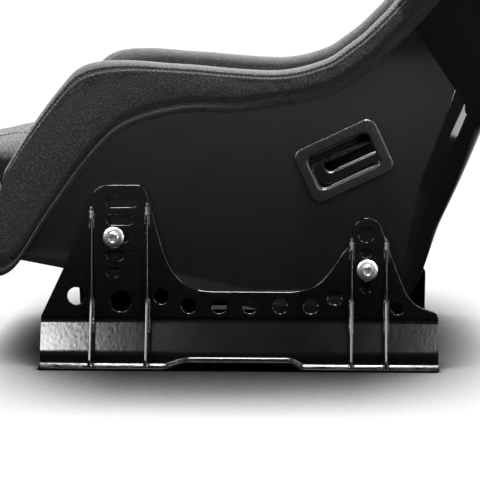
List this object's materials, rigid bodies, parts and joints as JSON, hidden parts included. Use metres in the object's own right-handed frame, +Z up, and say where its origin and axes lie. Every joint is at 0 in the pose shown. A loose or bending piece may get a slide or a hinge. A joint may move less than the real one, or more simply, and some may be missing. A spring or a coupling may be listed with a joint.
{
  "type": "racing seat",
  "caption": "Fixed-back bucket seat: black gloss glass-fibre shell with padded fabric covers, lift-off cushions, belt slots and folded steel side-mount brackets.",
  "frame": {"origin": "centre of the four corner floor-bolt holes, on the floor plane under the bracket flanges", "axes": "+Z up, the seat faces -Y, +X to the driver's left"},
  "size_m": [0.554, 0.7557, 0.9306],
  "materials": {
    "shell": "glass-fibre laminate with a black gloss gelcoat",
    "lining_fabric": "thin black knitted lining",
    "cover_fabric": "charcoal heathered woven fabric, stitched",
    "slot_frame": "moulded nylon, satin",
    "bracket_paint": "gloss black powder coat on folded steel",
    "zinc": "bright zinc plate",
    "spacer": "black anodised",
    "cushion_fabric": "charcoal heathered woven fabric over foam",
    "backing_fabric": "black non-slip backing cloth",
    "hook_and_loop": "black hook-and-loop tape"
  },
  "bodies": {
    "bucket": {"shell": "shell", "lining": "lining_fabric", "side_cover_left": "cover_fabric", "side_cover_right": "cover_fabric", "shoulder_cover_left": "cover_fabric", "shoulder_cover_right": "cover_fabric", "head_cover_left": "cover_fabric", "head_cover_right": "cover_fabric", "front_cover": "cover_fabric", "top_cover": "cover_fabric", "lap_frame_outer_left": "slot_frame", "lap_frame_outer_right": "slot_frame", "lap_frame_inner_left": "slot_frame", "lap_frame_inner_right": "slot_frame", "shoulder_frame_rear_left": "slot_frame", "shoulder_frame_rear_right": "slot_frame", "shoulder_frame_front_left": "slot_frame", "shoulder_frame_front_right": "slot_frame", "crotch_frame_lower": "slot_frame", "crotch_frame_upper": "slot_frame", "bracket_left": "bracket_paint", "bracket_right": "bracket_paint", "gussets_left": "bracket_paint", "gussets_right": "bracket_paint", "seat_bolts": "zinc", "lock_washers": "zinc", "large_washers": "zinc", "threaded_inserts": "zinc", "mount_spacers": "spacer", "loop_strips": "hook_and_loop"},
    "seat_cushion": {"seat_cushion": "cushion_fabric", "seat_cushion_backing": "backing_fabric", "seat_cushion_hooks": "hook_and_loop"},
    "back_cushion": {"back_cushion": "cushion_fabric", "back_cushion_backing": "backing_fabric", "back_cushion_hooks": "hook_and_loop"},
    "head_cushion": {"head_cushion": "cushion_fabric", "head_cushion_backing": "backing_fabric", "head_cushion_hooks": "hook_and_loop"}
  },
  "joints": [
    {"name": "seat_cushion_lift", "type": "slide", "parent": "bucket", "child": "seat_cushion", "axis": [0, -0.7, 0.7141], "range_m": [0, 0.6]},
    {"name": "back_cushion_lift", "type": "slide", "parent": "bucket", "child": "back_cushion", "axis": [0, -0.8, 0.6], "range_m": [0, 0.5]},
    {"name": "head_cushion_lift", "type": "slide", "parent": "bucket", "child": "head_cushion", "axis": [0, -0.94, 0.3412], "range_m": [0, 0.25]}
  ]
}
